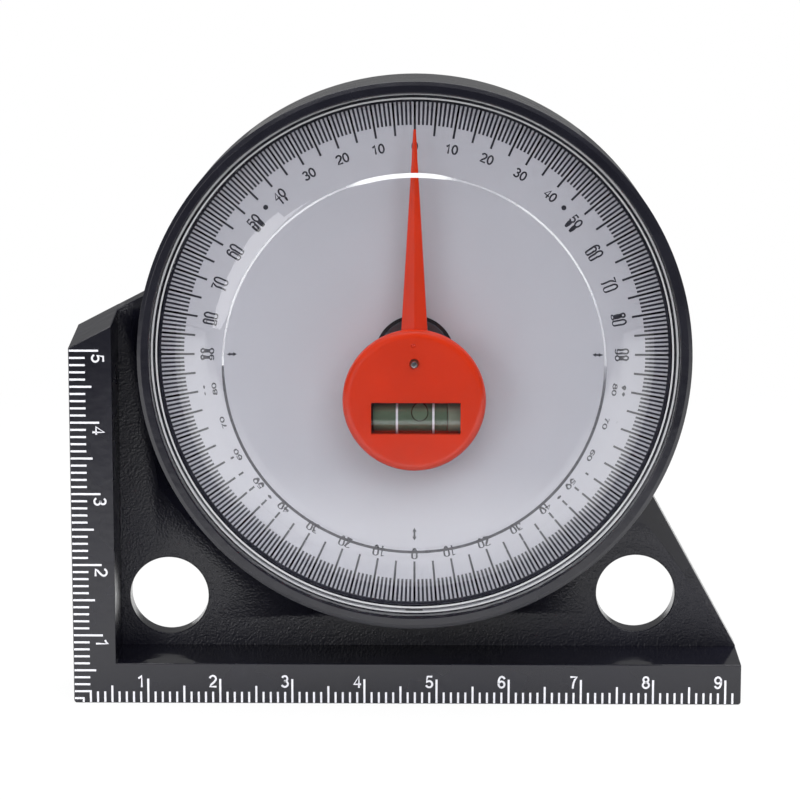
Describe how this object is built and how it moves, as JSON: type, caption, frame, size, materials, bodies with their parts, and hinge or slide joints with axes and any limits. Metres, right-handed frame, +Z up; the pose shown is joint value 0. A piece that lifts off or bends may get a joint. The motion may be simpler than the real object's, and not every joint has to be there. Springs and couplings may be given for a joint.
{
  "type": "inclinometer",
  "caption": "Pocket angle finder: L-shaped ruled base, round drum with a four-quadrant degree dial under a clear cover, and a weighted swinging pointer with a spirit vial.",
  "frame": {"origin": "centre of the bounding box on the plane of the underside", "axes": "+X to the right along the base's rule, +Y from the dial towards the back, +Z up"},
  "size_m": [0.0926, 0.0206, 0.0866],
  "materials": {
    "housing_black": "moulded black plastic, satin edges with printed rules, grained web",
    "magnet_rubber": "dark bonded magnet strip",
    "dial_white": "white sheet plastic with printed graduations",
    "collar_black": "glossy black plastic",
    "pin_steel": "drawn steel wire",
    "nylon": "natural nylon",
    "clear_plastic": "clear polished plastic",
    "pointer_orange": "glossy orange plastic",
    "bush_brass": "turned brass",
    "weight_steel": "cut steel",
    "vial_green": "green tinted liquid"
  },
  "bodies": {
    "frame": {"housing": "housing_black", "magnet_strip_front": "magnet_rubber", "magnet_strip_rear": "magnet_rubber", "dial_plate": "dial_white", "dial_collar": "collar_black", "pivot_pin": "pin_steel", "spacer_washer": "nylon", "lens_cover": "clear_plastic"},
    "pointer": {"pointer": "pointer_orange", "hub_back_cap": "pointer_orange", "pivot_bush": "bush_brass", "counterweight": "weight_steel", "vial_tube": "clear_plastic", "vial_liquid": "vial_green", "vial_plug": "nylon"}
  },
  "joints": [
    {"name": "pointer_swing", "type": "hinge", "parent": "frame", "child": "pointer", "pos_m": [0.00099, 0, 0.04886], "axis": [0, 1, 0], "continuous": true}
  ]
}
